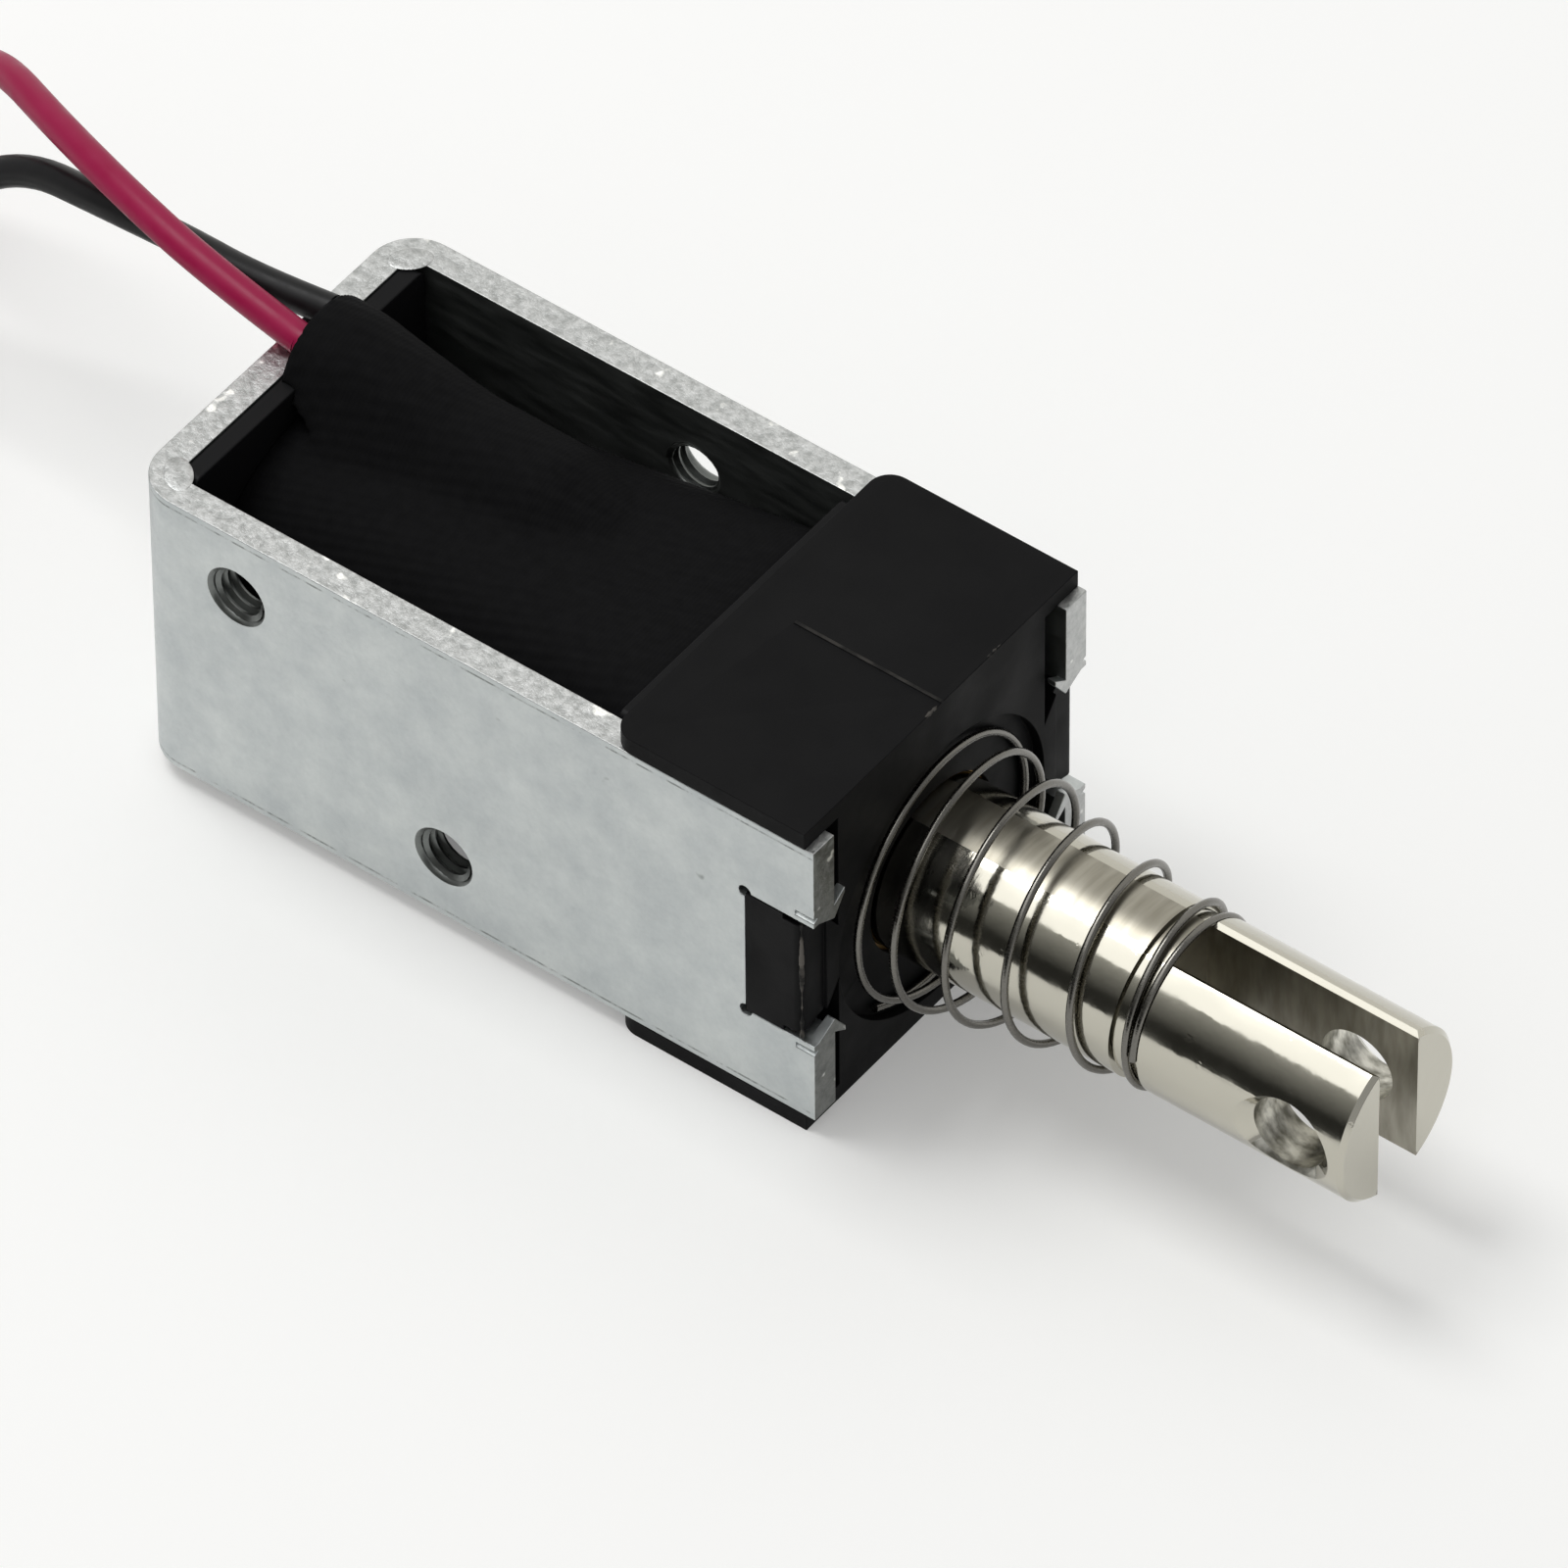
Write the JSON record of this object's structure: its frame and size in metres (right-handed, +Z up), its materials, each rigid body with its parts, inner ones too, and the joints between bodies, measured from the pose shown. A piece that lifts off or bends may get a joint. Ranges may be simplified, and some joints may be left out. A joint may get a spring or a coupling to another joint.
{
  "type": "push pull solenoid",
  "caption": "open frame push pull solenoid: a taped coil in a bent steel frame with a moulded end block, a sprung clevis plunger and two flying leads",
  "frame": {"origin": "on the surface the solenoid stands on, below the middle of its length over the frame and the plunger at rest", "axes": "+X along the plunger, out of the frame; +Z up, towards the side where the leads leave; +Y to the side"},
  "size_m": [0.1259, 0.0281, 0.0217],
  "materials": {
    "zinc_plated_steel": "zinc plated strip, satin with a fine spangle",
    "moulded_black_nylon": "black glass filled nylon, fine moulded grain",
    "core_steel": "turned soft iron",
    "guide_brass": "drawn brass",
    "bobbin_plastic": "black nylon",
    "copper_winding": "enamelled copper wire",
    "black_cloth_tape": "black acetate cloth tape",
    "lead_red_pvc": "red PVC insulation",
    "lead_black_pvc": "black PVC insulation",
    "shrink_sleeve": "black heat shrink",
    "tinned_copper": "tinned strands",
    "nickel_plated_steel": "bright nickel plate over turned steel",
    "spring_wire": "drawn spring wire"
  },
  "bodies": {
    "housing": {"frame": "zinc_plated_steel", "end_block": "moulded_black_nylon", "front_pole_plate": "core_steel", "guide_tube": "guide_brass", "fixed_core": "core_steel", "core_shim": "guide_brass", "bobbin": "bobbin_plastic", "coil_winding": "copper_winding", "coil_tape": "black_cloth_tape", "lead_tape": "black_cloth_tape", "lead_red_root": "lead_red_pvc", "lead_black_root": "lead_black_pvc", "lead_red_splice_sleeve": "shrink_sleeve", "lead_black_splice_sleeve": "shrink_sleeve", "lead_red": "lead_red_pvc", "lead_black": "lead_black_pvc", "lead_red_coil": "lead_red_pvc", "lead_black_coil": "lead_black_pvc", "lead_red_end": "tinned_copper", "lead_black_end": "tinned_copper"},
    "spring": {"return_spring": "spring_wire"},
    "armature": {"plunger": "nickel_plated_steel"}
  },
  "joints": [
    {"name": "plunger_turn", "type": "hinge", "parent": "housing", "child": "spring", "pos_m": [0.0067, 0, 0.0089], "axis": [1, 0, 0], "continuous": true},
    {"name": "plunger_slide", "type": "slide", "parent": "spring", "child": "armature", "axis": [1, 0, 0], "range_m": [-0.01, 0], "stiffness_N_per_m": 35, "deforming": ["return_spring"]}
  ]
}
